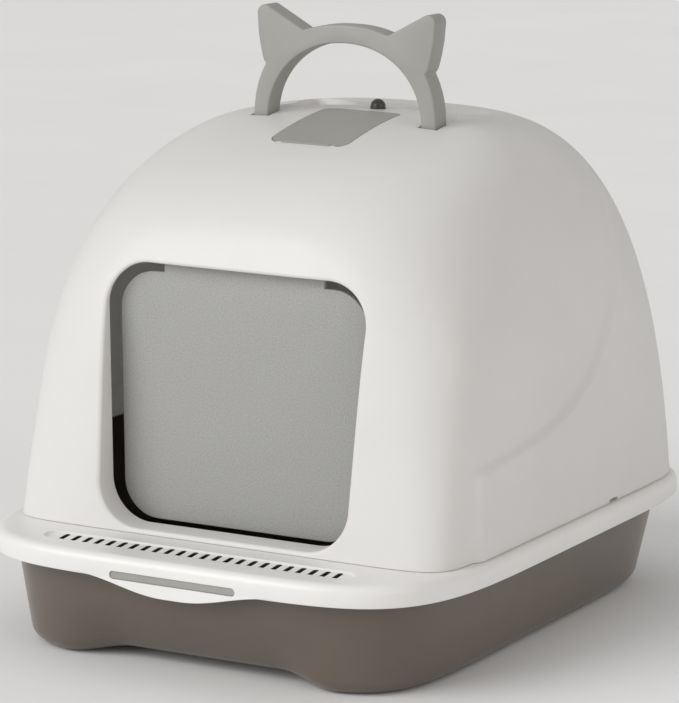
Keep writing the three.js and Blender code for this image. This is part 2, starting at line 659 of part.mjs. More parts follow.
for (const [name, side] of [['left', -1], ['right', 1]]) {
  group.add(piece(`flap_bearing_${name}`, flapBearing(side, lining), WHITE));
  group.add(piece(`handle_bearing_${name}`, handleBearing(side, lining), WHITE));
  group.add(piece(`handle_pin_${name}`, handlePin(side), STEEL, 0.3, 1));
}

export default group;
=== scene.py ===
"""A hooded cat litter box: what it looks like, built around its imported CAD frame.

Lengths are in mm until a mesh is made.
"""

import math

import bmesh
import bpy
import numpy as np
from mathutils import Matrix, Vector


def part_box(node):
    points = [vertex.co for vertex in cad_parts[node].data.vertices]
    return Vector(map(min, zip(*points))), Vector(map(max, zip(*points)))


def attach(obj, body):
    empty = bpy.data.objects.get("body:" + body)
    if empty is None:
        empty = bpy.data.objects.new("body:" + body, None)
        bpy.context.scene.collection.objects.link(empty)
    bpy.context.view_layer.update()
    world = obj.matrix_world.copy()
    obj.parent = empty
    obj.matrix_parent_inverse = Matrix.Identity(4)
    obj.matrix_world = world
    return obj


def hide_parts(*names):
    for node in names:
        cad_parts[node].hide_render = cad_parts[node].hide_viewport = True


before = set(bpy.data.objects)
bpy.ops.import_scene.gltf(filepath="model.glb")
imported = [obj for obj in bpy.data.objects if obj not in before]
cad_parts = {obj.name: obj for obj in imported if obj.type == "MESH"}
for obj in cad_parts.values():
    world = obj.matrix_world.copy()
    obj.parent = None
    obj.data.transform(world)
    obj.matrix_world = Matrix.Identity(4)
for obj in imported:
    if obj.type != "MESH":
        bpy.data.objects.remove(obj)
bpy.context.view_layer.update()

MM = 0.001
WALL = 3.0
GAP = 0.35
FAR = 1000.0


def box_mm(node):
    """The lowest and highest corner of a CAD node."""
    low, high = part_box(node)
    return np.array(low) / MM, np.array(high) / MM


hood_low, hood_high = box_mm("hood_shell")
collar_low, collar_high = box_mm("collar_frame")
_, tray_high = box_mm("litter_tray")
handle_low, handle_high = box_mm("carry_handle")
cover_low, cover_high = box_mm("filter_cover")
button_low, button_high = box_mm("latch_button")
guard_low, guard_high = box_mm("splash_guard")
grip_low, grip_high = box_mm("grip_insert")
basket_low, basket_high = box_mm("filter_basket")
pad_low, pad_high = box_mm("charcoal_filter")
rod_low, rod_high = box_mm("flap_rod")
cover_pin_low, cover_pin_high = box_mm("cover_pin")

# ---- plan and dome ----

HOOD_FRONT = 222.0
HOOD_REAR = 226.0
HOOD_CENTRE_Y = 28.0
HOOD_HALF_WIDTH = hood_high[0]
HOOD_BASE = hood_low[2]
HOOD_TOP = hood_high[2]
# How each half-width shrinks up the dome: how late it starts, how round it ends and how much it leans.
SIDE_CURVE = (2.55, 5.3)
FRONT_CURVE = (9.0, 1.35, 0.12)
REAR_CURVE = (0.9, 6.5)
# How square the plan is: at the base in front and behind, and at the roof.
FRONT_EXPONENT = 12.0
REAR_EXPONENT = 9.0
ROOF_EXPONENT = 2.6
FRONT_EASE = 1.5
COLLAR_FRONT_EXPONENT = 4.9
COLLAR_REAR_EXPONENT = 8.0
COLLAR_TOP = HOOD_BASE - GAP
COLLAR_HEIGHT = 17.0
COLLAR_BOTTOM = COLLAR_TOP - COLLAR_HEIGHT


def plan_ring(half_width, front, rear, centre_y, front_exponent, rear_exponent, segments):
    """A closed outline in X and Y, the same number of points for any size, evenly turned about its centre."""
    angle = np.arange(segments) * 2 * math.pi / segments
    exponent = np.where(np.sin(angle) > 0, rear_exponent, front_exponent)
    c, s = np.cos(angle), np.sin(angle)
    reach = (np.abs(c) ** exponent + np.abs(s) ** exponent) ** (-1 / exponent)
    x = half_width * reach * c
    y = centre_y + np.where(s > 0, rear, front) * reach * s
    return np.column_stack([x, y])


def left(level, rise, round_power, lean=0.0):
    """The share of a half-width that is left at level, from 0 at the base to 1 at the top."""
    level = min(max(level, 0.0), 1.0)
    return (1 - lean * level) * max(1e-9, 1 - level**rise) ** (1 / round_power)


def dome_ring(z, inset, segments):
    """The dome's outline at height z, moved in by inset."""
    level = (z - HOOD_BASE) / (HOOD_TOP - inset - HOOD_BASE)
    level = min(max(level, 0.0), 1.0)
    ring = plan_ring(
        (HOOD_HALF_WIDTH - inset) * left(level, *SIDE_CURVE),
        (HOOD_FRONT - inset) * left(level, *FRONT_CURVE),
        (HOOD_REAR - inset) * left(level, *REAR_CURVE),
        HOOD_CENTRE_Y,
        ROOF_EXPONENT + (FRONT_EXPONENT - ROOF_EXPONENT) * (1 - level) ** FRONT_EASE,
        ROOF_EXPONENT + (REAR_EXPONENT - ROOF_EXPONENT) * (1 - level),
        segments,
    )
    return np.column_stack([ring, np.full(segments, z)])


def dome_levels(inset, low_count, high_count):
    """Heights up the dome: even at first, then closer together as the roof flattens."""
    split = 0.9
    rise, round_power = SIDE_CURVE
    start = (1 - split**rise) ** (1 / round_power)
    shrink = start * (1 - (np.arange(1, high_count + 1) / (high_count + 0.4)))
    low = np.linspace(0, split, low_count)
    high = (1 - shrink**round_power) ** (1 / rise)
    return HOOD_BASE + (HOOD_TOP - inset - HOOD_BASE) * np.concatenate([low, high])


# ---- meshes ----


def make(name, vertices, faces):
    """A mesh from points in mm, with its doubled points merged and its faces turned out."""
    mesh = bpy.data.meshes.new(name)
    mesh.from_pydata((np.asarray(vertices, dtype=float) * MM).tolist(), [], faces)
    mesh.update()
    bm = bmesh.new()
    bm.from_mesh(mesh)
    bmesh.ops.remove_doubles(bm, verts=bm.verts, dist=1e-7)
    bmesh.ops.recalc_face_normals(bm, faces=bm.faces)
    bm.to_mesh(mesh)
    bm.free()
    obj = bpy.data.objects.new(name, mesh)
    bpy.context.scene.collection.objects.link(obj)
    return obj


def loft(name, rings, caps=(True, True), around=False):
    """Rings of points joined one to the next.

    around joins the last ring to the first, as a band with a hole through it.
    """
    rings = [np.asarray(ring, dtype=float) for ring in rings]
    count = len(rings[0])
    total = len(rings)
    faces = []
    for i in range(total if around else total - 1):
        a, b = i * count, ((i + 1) % total) * count
        for j in range(count):
            k = (j + 1) % count
            faces.append((a + j, a + k, b + k, b + j))
    if caps[0] and not around:
        faces.append(tuple(range(count - 1, -1, -1)))
    if caps[1] and not around:
        faces.append(tuple(range((total - 1) * count, total * count)))
    return make(name, np.vstack(rings), faces)


def prism(name, outline, axis, start, end):
    """An outline run from start to end along one axis. Its two numbers are the other two axes in order."""
    outline = np.asarray(outline, dtype=float)
    rings = []
    for value in (start, end):
        rings.append(np.insert(outline, axis, value, axis=1))
    return loft(name, rings)


def block(name, low, high):
    outline = [(low[0], low[1]), (high[0], low[1]), (high[0], high[1]), (low[0], high[1])]
    return prism(name, outline, 2, low[2], high[2])


def turned(name, profile, centre, axis=2, segments=48):
    """A profile of (radius, height) pairs turned about an axis through centre."""
    angle = np.arange(segments) * 2 * math.pi / segments
    rings = []
    for radius, height in profile:
        flat = np.column_stack([radius * np.cos(angle), radius * np.sin(angle)])
        rings.append(np.insert(flat, axis, height, axis=1) + np.asarray(centre, dtype=float))
    return loft(name, rings)


def plan_loft(name, profile, plan, segments=240, **options):
    """A profile of (inset, z) pairs carried round plan(z, segments, inset)."""
    rings = []
    for inset, z in profile:
        rings.append(np.column_stack([plan(z, segments, inset), np.full(segments, z)]))
    return loft(name, rings, **options)


def apply_modifiers(obj):
    depsgraph = bpy.context.evaluated_depsgraph_get()
    mesh = bpy.data.meshes.new_from_object(obj.evaluated_get(depsgraph))
    obj.modifiers.clear()
    obj.data = mesh
    return obj


def combine(obj, others, operation="DIFFERENCE"):
    """obj with the others cut from it, added to it or kept in common. The others are used up."""
    for other in others:
        modifier = obj.modifiers.new(operation.lower(), "BOOLEAN")
        modifier.object = other
        modifier.operation = operation
        modifier.solver = "EXACT"
        apply_modifiers(obj)
        bpy.data.objects.remove(other)
    return obj


def joined(objects):
    """One cutter made of several that don't touch one another."""
    bm = bmesh.new()
    for obj in objects:
        bm.from_mesh(obj.data)
        bpy.data.objects.remove(obj)
    mesh = bpy.data.meshes.new("cutters")
    bm.to_mesh(mesh)
    bm.free()
    cutter = bpy.data.objects.new("cutters", mesh)
    bpy.context.scene.collection.objects.link(cutter)
    return cutter


def bevelled(obj, width, segments=3, angle=35):
    modifier = obj.modifiers.new("edges", "BEVEL")
    modifier.width = width * MM
    modifier.segments = segments
    modifier.limit_method = "ANGLE"
    modifier.angle_limit = math.radians(angle)
    modifier.harden_normals = False
    return apply_modifiers(obj)


def smoothed(obj, angle=32):
    """Smooth shading, with edges sharper than angle kept sharp."""
    mesh = obj.data
    mesh.polygons.foreach_set("use_smooth", [True] * len(mesh.polygons))
    mesh.set_sharp_from_angle(angle=math.radians(angle))
    mesh.update()
    return obj


def arc(centre, radius, start, end, steps):
    angles = np.radians(np.linspace(start, end, steps + 1))
    return [(centre[0] + radius * math.cos(a), centre[1] + radius * math.sin(a)) for a in angles]


def rounded_outline(low, high, radius, steps=8):
    """A rectangle with rounded corners."""
    (x0, y0), (x1, y1) = low, high
    points = arc((x1 - radius, y0 + radius), radius, -90, 0, steps)
    points += arc((x1 - radius, y1 - radius), radius, 0, 90, steps)
    points += arc((x0 + radius, y1 - radius), radius, 90, 180, steps)
    points += arc((x0 + radius, y0 + radius), radius, 180, 270, steps)
    return points


def cubic(start, pull_start, pull_end, end, steps=24):
    """A cubic curve from start to end, without its first point."""
    t = np.linspace(0, 1, steps + 1)[1:, None]
    ends = (1 - t) ** 3 * np.array(start, dtype=float) + t**3 * np.array(end, dtype=float)
    pulls = (1 - t) * np.array(pull_start, dtype=float) + t * np.array(pull_end, dtype=float)
    return [tuple(point) for point in ends + 3 * t * (1 - t) * pulls]


def stadium(half_length, half_height, centre=(0, 0), steps=10):
    """A rectangle with round ends."""
    x, y = centre
    radius = half_height * 0.999
    low, high = (x - half_length, y - half_height), (x + half_length, y + half_height)
    return rounded_outline(low, high, radius, steps)


# ---- materials ----


class Nodes:
    """A material being wired up."""

    def __init__(self, name):
        self.material = bpy.data.materials.new(name)
        self.material.use_nodes = True
        self.tree = self.material.node_tree
        self.shader = self.tree.nodes["Principled BSDF"]
        self.place = self.add("ShaderNodeTexCoord").outputs["Object"]

    def add(self, kind):
        return self.tree.nodes.new(kind)

    def link(self, source, target):
        self.tree.links.new(source, target)

    def noise(self, scale, detail=3.0, roughness=0.5, stretch=(1, 1, 1)):
        mapping = self.add("ShaderNodeMapping")
        mapping.inputs["Scale"].default_value = stretch
        self.link(self.place, mapping.inputs["Vector"])
        node = self.add("ShaderNodeTexNoise")
        node.inputs["Scale"].default_value = scale
        node.inputs["Detail"].default_value = detail
        node.inputs["Roughness"].default_value = roughness
        self.link(mapping.outputs["Vector"], node.inputs["Vector"])
        return node.outputs["Fac"]

    def cells(self, scale):
        node = self.add("ShaderNodeTexVoronoi")
        node.inputs["Scale"].default_value = scale
        self.link(self.place, node.inputs["Vector"])
        return node.outputs["Distance"]

    def ramp(self, value, low, high, start=0.3, end=0.7):
        node = self.add("ShaderNodeValToRGB")
        node.color_ramp.elements[0].position = start
        node.color_ramp.elements[0].color = (*low, 1)
        node.color_ramp.elements[1].position = end
        node.color_ramp.elements[1].color = (*high, 1)
        self.link(value, node.inputs["Fac"])
        return node.outputs["Color"]

    def spread(self, value, low, high):
        node = self.add("ShaderNodeMapRange")
        node.inputs["From Min"].default_value = 0.3
        node.inputs["From Max"].default_value = 0.7
        node.inputs["To Min"].default_value = low
        node.inputs["To Max"].default_value = high
        self.link(value, node.inputs["Value"])
        return node.outputs["Result"]

    def bump(self, value, strength, distance, under=None):
        node = self.add("ShaderNodeBump")
        node.inputs["Strength"].default_value = strength
        node.inputs["Distance"].default_value = distance
        self.link(value, node.inputs["Height"])
        if under is not None:
            self.link(under, node.inputs["Normal"])
        return node.outputs["Normal"]

    def edge(self, radius):
        node = self.add("ShaderNodeBevel")
        node.samples = 4
        node.inputs["Radius"].default_value = radius
        return node.outputs["Normal"]

    def let_through(self, share, color):
        """A thin wall: this share of the light goes through it, scattered."""
        through = self.add("ShaderNodeBsdfTranslucent")
        through.inputs["Color"].default_value = (*color, 1)
        mix = self.add("ShaderNodeMixShader")
        mix.inputs["Fac"].default_value = share
        self.link(self.shader.outputs["BSDF"], mix.inputs[1])
        self.link(through.outputs["BSDF"], mix.inputs[2])
        self.link(mix.outputs["Shader"], self.tree.nodes["Material Output"].inputs["Surface"])

    def set(self, **values):
        for key, value in values.items():
            self.shader.inputs[key.replace("_", " ")].default_value = value


def plastic(name, dark, light, roughness, grain, edge_mm=0.0, coat=0.0, ripple=0.05, glow=0.0):
    """A moulded plastic: faint cloudiness in its colour, uneven gloss and a fine grain."""
    m = Nodes(name)
    cloud = m.noise(9.0, 4.0, 0.6)
    m.link(m.ramp(cloud, dark, light), m.shader.inputs["Base Color"])
    m.link(m.spread(m.noise(45.0, 5.0, 0.65), *roughness), m.shader.inputs["Roughness"])
    rounded = m.edge(edge_mm * MM) if edge_mm else None
    ripple = m.bump(m.noise(70.0, 2.0), ripple, 0.0004, rounded)
    m.link(m.bump(m.noise(2600.0, 2.0), grain, 0.00006, ripple), m.shader.inputs["Normal"])
    m.set(IOR=1.49, Coat_Weight=coat, Coat_Roughness=0.25)
    if glow:
        m.let_through(glow, light)
    return m.material


def steel(name):
    """Drawn steel: fine lines along its length."""
    m = Nodes(name)
    lines = m.noise(900.0, 4.0, 0.6, (0.04, 1, 1))
    m.link(m.ramp(lines, (0.42, 0.43, 0.44), (0.62, 0.63, 0.65)), m.shader.inputs["Base Color"])
    m.link(m.spread(lines, 0.22, 0.4), m.shader.inputs["Roughness"])
    m.link(m.bump(lines, 0.25, 0.00005), m.shader.inputs["Normal"])
    m.set(Metallic=1.0)
    return m.material


def foam(name):
    """Open-celled carbon foam."""
    m = Nodes(name)
    pores = m.cells(420.0)
    fibre = m.noise(300.0, 6.0, 0.7)
    m.link(m.ramp(fibre, (0.006, 0.006, 0.006), (0.05, 0.05, 0.052)), m.shader.inputs["Base Color"])
    m.link(m.bump(fibre, 0.5, 0.0008, m.bump(pores, 0.9, 0.0012)), m.shader.inputs["Normal"])
    m.set(Roughness=0.95)
    return m.material


def frosted(name):
    """Frosted translucent sheet: milky, with a fine sandy grain."""
    m = Nodes(name)
    grain = m.noise(850.0, 4.0, 0.75)
    milk = m.ramp(grain, (0.33, 0.33, 0.318), (0.50, 0.50, 0.48), 0.35, 0.65)
    m.link(milk, m.shader.inputs["Base Color"])
    m.link(m.spread(m.noise(60.0, 4.0), 0.42, 0.55), m.shader.inputs["Roughness"])
    m.link(m.bump(grain, 0.35, 0.00012, m.edge(0.8 * MM)), m.shader.inputs["Normal"])
    m.set(IOR=1.47, Transmission_Weight=0.12, Subsurface_Weight=0.12, Subsurface_Scale=0.004)
    return m.material


WHITE = plastic(
    "white_plastic", (0.80, 0.79, 0.775), (0.84, 0.83, 0.815), (0.34, 0.42), grain=0.25, edge_mm=0.7, coat=0.12
)
HOOD_WHITE = plastic(
    "hood_plastic",
    (0.86, 0.85, 0.835),
    (0.90, 0.89, 0.875),
    (0.34, 0.42),
    grain=0.25,
    edge_mm=0.7,
    coat=0.12,
    glow=0.22,
)
TRAY_PLASTIC = plastic(
    "tray_plastic",
    (0.118, 0.094, 0.075),
    (0.13, 0.104, 0.083),
    (0.28, 0.34),
    grain=0.35,
    edge_mm=0.8,
    coat=0.25,
    ripple=0.02,
)
GREY = plastic(
    "grey_plastic", (0.32, 0.315, 0.295), (0.36, 0.355, 0.33), (0.42, 0.52), grain=0.3, edge_mm=0.4
)
# Near-black plastic for the drain slots' side walls: painted shade standing in for the shadow deep inside the
# slots.
SLOT_PAINTED_SHADE = plastic("slot_painted_shade", (0.05, 0.048, 0.043), (0.075, 0.072, 0.066), (0.5, 0.6), grain=0.2)
BUTTON_PLASTIC = plastic(
    "dark_plastic", (0.035, 0.034, 0.033), (0.055, 0.054, 0.052), (0.3, 0.4), grain=0.3, edge_mm=0.3
)
INNER = plastic("inner_white_plastic", (0.72, 0.71, 0.69), (0.78, 0.77, 0.75), (0.45, 0.55), grain=0.2)
FROSTED = frosted("frosted_plastic")
# A lighter, glossier copy of the flap's colour for its edge faces: the lighter colour is a painted highlight
# along the rim.
FROSTED_EDGE_PAINTED_HIGHLIGHT = plastic("frosted_edge_painted_highlight", (0.60, 0.60, 0.58), (0.68, 0.68, 0.66), (0.25, 0.35), grain=0.2)
STEEL = steel("steel")
FOAM = foam("charcoal_foam")


def finished(obj, material, body, nodes, angle=32):
    """obj with its material, riding on its body in place of its CAD nodes."""
    obj.data.materials.clear()
    obj.data.materials.append(material)
    smoothed(obj, angle)
    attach(obj, body)
    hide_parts(*nodes)
    return obj


# ---- outlines shared by neighbouring pieces ----

DOOR_TOP = 294.0
DOOR_BOTTOM = 95.0
DOOR_TOP_HALF = 110.0
DOOR_BOTTOM_HALF = 106.0
DOOR_RADIUS = 34.0
DOOR_INNER_Y = -170.0
HANDLE_FOOT_RADIUS = 10.0
HANDLE_BAR = 12.5
HANDLE_ARCH_TOP = 463.0
HANDLE_ARCH_UNDERSIDE = 449.0
HANDLE_OUTER_EXPONENT = 2.3
HANDLE_INNER_EXPONENT = 2.1
EAR_FOOT_Z = 432.0
EAR_INNER_X = 39.0
EAR_TIP_X = 75.5
EAR_TIP_RADIUS = 6.5
# The ear's outer edge, from the tip's X and the foot's Z.
EAR_EDGE = ((-4.4, -0.6), (-3.2, 2.2), (-0.8, 12.0), (0.9, 22.0))
PIVOT_Z = handle_low[2] + HANDLE_FOOT_RADIUS
HANDLE_Y = (handle_low[1] + handle_high[1]) / 2
CHANNEL_MARGIN = 2.2
CHANNEL_FLOOR = 374.5


def door_outline(margin, drop=0.0, sag=0.0, steps=14):
    """The entry grown by margin, with its top lowered by drop and its bottom by sag."""
    radius = DOOR_RADIUS + margin
    top_z = DOOR_TOP - DOOR_RADIUS - drop
    bottom_z = DOOR_BOTTOM + DOOR_RADIUS - sag
    top_x = DOOR_TOP_HALF - DOOR_RADIUS
    bottom_x = DOOR_BOTTOM_HALF - DOOR_RADIUS
    points = arc((bottom_x, bottom_z), radius, -90, 0, steps)
    points += arc((top_x, top_z), radius, 0, 90, steps)
    points += arc((-top_x, top_z), radius, 90, 180, steps)
    points += arc((-bottom_x, bottom_z), radius, 180, 270, steps)
    return points


def handle_outline(margin, steps=26):
    """The handle standing up, seen from the front. The second number is the height above its pivot."""
    outer = (handle_high[0] + margin, HANDLE_ARCH_TOP - PIVOT_Z + margin)
    inner = (handle_high[0] - HANDLE_BAR - margin, HANDLE_ARCH_UNDERSIDE - PIVOT_Z - margin)

    def on_arc(size, exponent, angle):
        c, s = math.cos(angle), math.sin(angle)
        return (
            size[0] * math.copysign(abs(c) ** (2 / exponent), c),
            size[1] * math.copysign(abs(s) ** (2 / exponent), s),
        )

    foot = -HANDLE_FOOT_RADIUS - margin
    ear_low = EAR_FOOT_Z - PIVOT_Z - margin
    half = [(inner[0], foot), (outer[0], foot)]
    arch = [on_arc(outer, HANDLE_OUTER_EXPONENT, i / steps * math.pi / 2) for i in range(steps + 1)]
    half += [p for p in arch if p[1] < ear_low]
    half += [(EAR_TIP_X + x + margin, ear_low + margin + z) for x, z in EAR_EDGE]
    tip_centre = (EAR_TIP_X + 2 - EAR_TIP_RADIUS, handle_high[2] - PIVOT_Z - EAR_TIP_RADIUS)
    half += arc(tip_centre, EAR_TIP_RADIUS + margin, -4, 117, 12)
    half += [p for p in arch if p[0] < EAR_INNER_X - margin]
    points = list(half)
    points += [(-x, z) for x, z in reversed(half) if x > 0.05]
    for i in range(1, 2 * steps):
        points.append(on_arc(inner, HANDLE_INNER_EXPONENT, math.pi - i / (2 * steps) * math.pi))
    return points


def channel(margin, floor):
    """The recess that the folded handle lies in, as a solid to cut with."""
    outline = [(x, HANDLE_Y + y) for x, y in handle_outline(margin)]
    return prism("channel", outline, 2, floor, FAR)


# ---- tray ----

TRAY_TOP = tray_high[2]
# Half width, front and rear at the floor, and how far each flares out by the rim.
TRAY_FLOOR_PLAN = (172.0, 231.0, 236.0)
TRAY_FLARE = (16.0, 19.0, 14.0)
TRAY_FLOOR_EXPONENT = 6.0
TRAY_CORNER = 12.0
# Rows of points across the floor, by how far in they lie, so that the scoop can lift it.
FLOOR_ROWS = (150.0, 120.0, 90.0, 72.0, 60.0, 50.0, 40.0, 32.0, 24.0, 18.0)
SCOOP_TOP = 46.0
SCOOP_DEPTH = 18.0
SCOOP_LIFT = 7.0
SCOOP_HALF_WIDTHS = (62.0, 118.0)
SCOOP_REACH = (165.0, 222.0)


def tray_plan(z, segments, inset):
    t = min(max(z / TRAY_TOP, 0.0), 1.0)
    half_width, front, rear = (size + flare * t - inset for size, flare in zip(TRAY_FLOOR_PLAN, TRAY_FLARE))
    return plan_ring(
        half_width,
        front,
        rear,
        0.0,
        TRAY_FLOOR_EXPONENT + (COLLAR_FRONT_EXPONENT - TRAY_FLOOR_EXPONENT) * t,
        COLLAR_REAR_EXPONENT,
        segments,
    )


def tray_profile(inset, floor, radius=TRAY_CORNER, steps=16):
    """The floor and the round corner under the wall."""
    profile = [(row, floor) for row in FLOOR_ROWS]
    profile.append((radius + inset + 1.5, floor))
    for i in range(steps + 1):
        angle = i / steps * math.pi / 2
        profile.append((inset + radius * (1 - math.sin(angle)), floor + radius * (1 - math.cos(angle))))
    return profile


def smooth_step(value, start, end):
    t = np.clip((value - start) / (end - start), 0, 1)
    return t * t * (3 - 2 * t)


def scooped(rings):
    """The lower front wall is pressed in between the corners, and the floor there is lifted a little."""
    moved = []
    for ring in rings:
        x, y, z = ring.T
        across = 1 - smooth_step(np.abs(x), *SCOOP_HALF_WIDTHS)
        near_front = smooth_step(-y, *SCOOP_REACH)
        low = np.clip((SCOOP_TOP - z) / SCOOP_TOP, 0, 1)
        back = SCOOP_DEPTH * across * near_front * low**0.85
        lift = SCOOP_LIFT * across * near_front * low**3
        moved.append(np.column_stack([x, y + back, z + lift]))
    return moved


def tray_rings(profile, segments=360):
    return [np.column_stack([tray_plan(z, segments, inset), np.full(segments, z)]) for inset, z in profile]


outer_profile = tray_profile(0, 0)
outer_profile += [(0, z) for z in np.linspace(16, TRAY_TOP - 5, 12)]
outer_profile += [(-0.6, TRAY_TOP - 3.4), (-2.4, TRAY_TOP - 3), (-3, TRAY_TOP - 2.4), (-3, TRAY_TOP - 0.8)]
outer_profile += [(-2.3, TRAY_TOP), (WALL, TRAY_TOP)]
inner_profile = tray_profile(WALL, WALL)
inner_profile += [(WALL, z) for z in np.linspace(19, TRAY_TOP + 2, 10)]
hollow = loft("hollow", scooped(tray_rings(inner_profile)))
tray = combine(loft("tray", scooped(tray_rings(outer_profile))), [hollow])
finished(tray, TRAY_PLASTIC, "tray", ["litter_tray"], 40)

# ---- collar ----


def collar_plan(z, segments, inset):
    return plan_ring(
        collar_high[0] - inset,
        -collar_low[1] - inset,
        collar_high[1] - inset,
        0.0,
        COLLAR_FRONT_EXPONENT,
        COLLAR_REAR_EXPONENT,
        segments,
    )


def hood_plan(z, segments, inset):
    return plan_ring(
        HOOD_HALF_WIDTH - inset,
        HOOD_FRONT - inset,
        HOOD_REAR - inset,
        HOOD_CENTRE_Y,
        FRONT_EXPONENT,
        REAR_EXPONENT,
        segments,
    )


def hood_ring(outer, inner, low, high):
    """An upright band along the hood's wall, between two insets and two heights."""
    profile = [(inner, low), (outer, low), (outer, high), (inner, high)]
    return plan_loft("ring", profile, hood_plan, around=True)


SHOULDER_IN, SHOULDER_DOWN = 7.0, 7.0
profile = [(60, COLLAR_BOTTOM), (1.0, COLLAR_BOTTOM), (0.3, COLLAR_BOTTOM + 0.3), (0, COLLAR_BOTTOM + 1.2)]
for i in range(13):
    turn = i / 12 * math.pi / 2
    across = SHOULDER_IN * (1 - math.cos(turn) ** 0.9)
    profile.append((across, COLLAR_TOP - SHOULDER_DOWN * (1 - math.sin(turn) ** 0.9)))
profile += [(18, COLLAR_TOP), (60, COLLAR_TOP)]
under_profile = [(80, COLLAR_BOTTOM - 5), (WALL, COLLAR_BOTTOM - 5), (WALL, COLLAR_TOP - 11)]
under_profile += [(WALL + 3, COLLAR_TOP - 4.5), (WALL + 6, COLLAR_TOP - WALL), (80, COLLAR_TOP - WALL)]
collar = plan_loft("collar", profile, collar_plan, 320)
under = plan_loft("under", under_profile, collar_plan, 320)
combine(collar, [under])

TONGUE_HALF = 84.0
TONGUE_SLOPE_SHARE = 0.92
tongue_low = collar_low[2]
tongue_side = []
for t in np.linspace(0, 1, 25):
    fall = 0.5 - 0.5 * math.cos(math.pi * t)
    across = -TONGUE_HALF + (TONGUE_HALF * TONGUE_SLOPE_SHARE) * t
    tongue_side.append((across, COLLAR_BOTTOM + 1 - (COLLAR_BOTTOM + 1 - tongue_low) * fall))
tongue_outline = tongue_side + [(-x, z) for x, z in reversed(tongue_side)]
tongue_profile = [(WALL, tongue_low - 1), (0, tongue_low - 1), (0, COLLAR_BOTTOM + 4), (WALL, COLLAR_BOTTOM + 4)]
tongue_band = plan_loft("tongue", tongue_profile, collar_plan, 320, around=True)
combine(tongue_band, [prism("tongue_shape", tongue_outline, 1, -FAR, 0)], "INTERSECT")
SEAT_GAP = 2.2
SEAT_THICKNESS = 2.6
rim_outer = WALL + SEAT_GAP
rim_inner = rim_outer + SEAT_THICKNESS
rim = hood_ring(rim_outer, rim_inner, COLLAR_TOP - WALL, collar_high[2])
gate = DOOR_BOTTOM_HALF + DOOR_RADIUS / 2
combine(rim, [block("gate", (-gate, -FAR, COLLAR_TOP - GAP), (gate, DOOR_INNER_Y + 2 * WALL, FAR))])
combine(collar, [tongue_band, rim], "UNION")
opening = plan_loft("opening", [(rim_inner, 0), (rim_inner, FAR)], hood_plan)
combine(collar, [opening])

DRAIN_Y = -226.0
DRAIN_PITCH = 10.1
DRAIN_COUNT = 24
SLOT_HALF_WIDTH = 2.1
SLOT_HALF_LENGTH = 9.2
RECESS_HALF_LENGTH = 130.0
RECESS_HALF_WIDTH = 10.5
RECESS_SLOPE = 0.085
# The recess's soft edge: how much wider it is than its floor, and how far it is above the ledge.
RECESS_EDGE = ((-1.6, -1.5), (-0.9, -1.4), (-0.2, -0.7), (0.5, -0.1), (0.8, 0.2), (0.8, 3.0))
recess_rings = []
for grow, rise in RECESS_EDGE:
    outline = np.array(stadium(RECESS_HALF_LENGTH + grow, RECESS_HALF_WIDTH + grow, (0, DRAIN_Y), 16))
    slope = RECESS_SLOPE * (outline[:, 1] - DRAIN_Y) - 0.7 if rise < 0 else 0.0
    recess_rings.append(np.column_stack([outline, np.full(len(outline), COLLAR_TOP + rise) + slope]))
GROOVE_FRONT_Y = -158.0
groove = hood_ring(-1.9, -0.7, COLLAR_TOP - 0.45, COLLAR_TOP + 2)
grip_z = (grip_low[2] + grip_high[2]) / 2
grip_half = (grip_high[2] - grip_low[2]) / 2 + GAP
grip_slot = prism("grip_slot", stadium(grip_high[0] + GAP, grip_half, (0, grip_z)), 1, -FAR, -HOOD_FRONT)
combine(groove, [block("front_gate", (-FAR, -FAR, 0), (FAR, GROOVE_FRONT_Y, FAR))])
combine(collar, [loft("recess", recess_rings), groove, grip_slot])
slots = []
for i in range(DRAIN_COUNT):
    x = (i - (DRAIN_COUNT - 1) / 2) * DRAIN_PITCH
    low = (x - SLOT_HALF_WIDTH, DRAIN_Y - SLOT_HALF_LENGTH)
    high = (x + SLOT_HALF_WIDTH, DRAIN_Y + SLOT_HALF_LENGTH)
    outline = rounded_outline(low, high, SLOT_HALF_WIDTH - 0.2, 5)
    slots.append(prism("slot", outline, 2, COLLAR_TOP - 8, COLLAR_TOP + 5))
combine(collar, [joined(slots)])
finished(collar, WHITE, "collar", ["collar_frame"], 38)
# The upright slot walls near the grille's top get the near-black plastic: painted shade in the drain slots.
collar.data.materials.append(SLOT_PAINTED_SHADE)
slot_reach = (DRAIN_COUNT / 2 * DRAIN_PITCH) * MM
for face in collar.data.polygons:
    x, y, z = face.center
    in_row = abs(x) < slot_reach and abs(y - DRAIN_Y * MM) < (SLOT_HALF_LENGTH + 0.1) * MM
    if in_row and abs(face.normal.z) < 0.6 and z > (COLLAR_TOP - 4) * MM:
        face.material_index = 1

# ---- grip insert ----

GRIP_SET_BACK = 0.9
grip_profile = [(WALL, grip_z - 6), (GRIP_SET_BACK, grip_z - 6), (GRIP_SET_BACK, grip_z + 6), (WALL, grip_z + 6)]
grip = plan_loft("grip", grip_profile, collar_plan, 320, around=True)
grip_outline = stadium(grip_high[0], grip_half - GAP, (0, grip_z))
combine(grip, [prism("grip_shape", grip_outline, 1, -FAR, -HOOD_FRONT)], "INTERSECT")
finished(grip, GREY, "collar", ["grip_insert"])

# ---- splash guard ----


def dome_solid(name, inset, bottom, segments=240, low_count=46, high_count=24):
    """The inside of the dome moved in by inset, carried down to bottom."""
    levels = dome_levels(inset, low_count, high_count)
    rings = [dome_ring(z, inset, segments) for z in levels]
    if bottom < HOOD_BASE:
        first = rings[0].copy()
        first[:, 2] = bottom
        rings.insert(0, first)
    return loft(name, rings)


